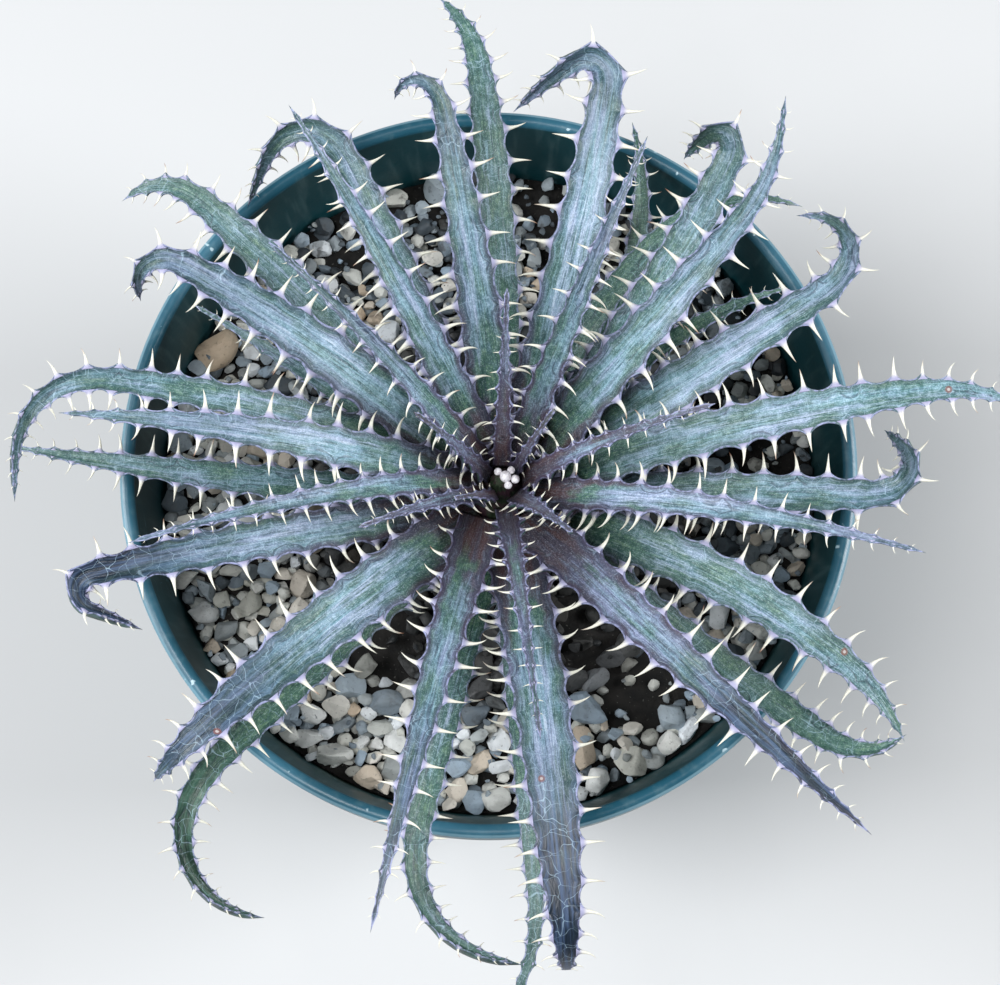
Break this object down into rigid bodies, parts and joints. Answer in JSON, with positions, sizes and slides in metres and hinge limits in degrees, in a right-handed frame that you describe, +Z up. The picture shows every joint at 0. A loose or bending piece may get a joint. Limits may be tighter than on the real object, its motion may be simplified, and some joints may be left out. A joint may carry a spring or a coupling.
{
  "type": "dyckia bromeliad in pot",
  "caption": "Rosette of narrow arching succulent leaves with hooked marginal spines, growing from a short stem in a round tapered pot filled with soil and a gravel top dressing.",
  "frame": {"origin": "middle of the pot's flat base, on the surface it stands on", "axes": "+Z up along the pot's axis; +X to the right and +Y away from a viewer who looks down on the plant"},
  "size_m": [0.1975, 0.2092, 0.1754],
  "materials": {
    "pot_plastic": "satin moulded plastic, lightly scuffed",
    "potting_mix": "dark moist soil",
    "gravel": "rounded cream and grey pebbles",
    "stem": "fibrous pale stem",
    "leaf_lower": "waxy green leaf with thin scurf",
    "leaf_upper": "waxy green leaf with silvery lilac scurf",
    "leaf_heart": "young purple leaf with silvery scurf",
    "granules": "white coated granules"
  },
  "bodies": {
    "root": {"pot": "pot_plastic", "potting_mix": "potting_mix", "gravel": "gravel", "stem": "stem", "leaf_01": "leaf_lower", "leaf_02": "leaf_lower", "leaf_03": "leaf_lower", "leaf_04": "leaf_lower", "leaf_05": "leaf_lower", "leaf_06": "leaf_lower", "leaf_07": "leaf_lower", "leaf_08": "leaf_lower", "leaf_09": "leaf_lower", "leaf_10": "leaf_lower", "leaf_11": "leaf_lower", "leaf_12": "leaf_lower", "leaf_13": "leaf_lower", "leaf_14": "leaf_lower", "leaf_15": "leaf_upper", "leaf_16": "leaf_upper", "leaf_17": "leaf_upper", "leaf_18": "leaf_upper", "leaf_19": "leaf_upper", "leaf_20": "leaf_upper", "leaf_21": "leaf_upper", "leaf_22": "leaf_upper", "leaf_23": "leaf_upper", "leaf_24": "leaf_upper", "leaf_25": "leaf_upper", "leaf_26": "leaf_upper", "leaf_27": "leaf_upper", "leaf_28": "leaf_upper", "leaf_29": "leaf_upper", "leaf_30": "leaf_upper", "leaf_31": "leaf_upper", "leaf_32": "leaf_upper", "leaf_33": "leaf_upper", "leaf_34": "leaf_upper", "leaf_35": "leaf_heart", "leaf_36": "leaf_heart", "leaf_37": "leaf_heart", "leaf_38": "leaf_heart", "leaf_39": "leaf_heart", "leaf_40": "leaf_heart", "leaf_41": "leaf_heart", "granules": "granules"}
  },
  "joints": []
}
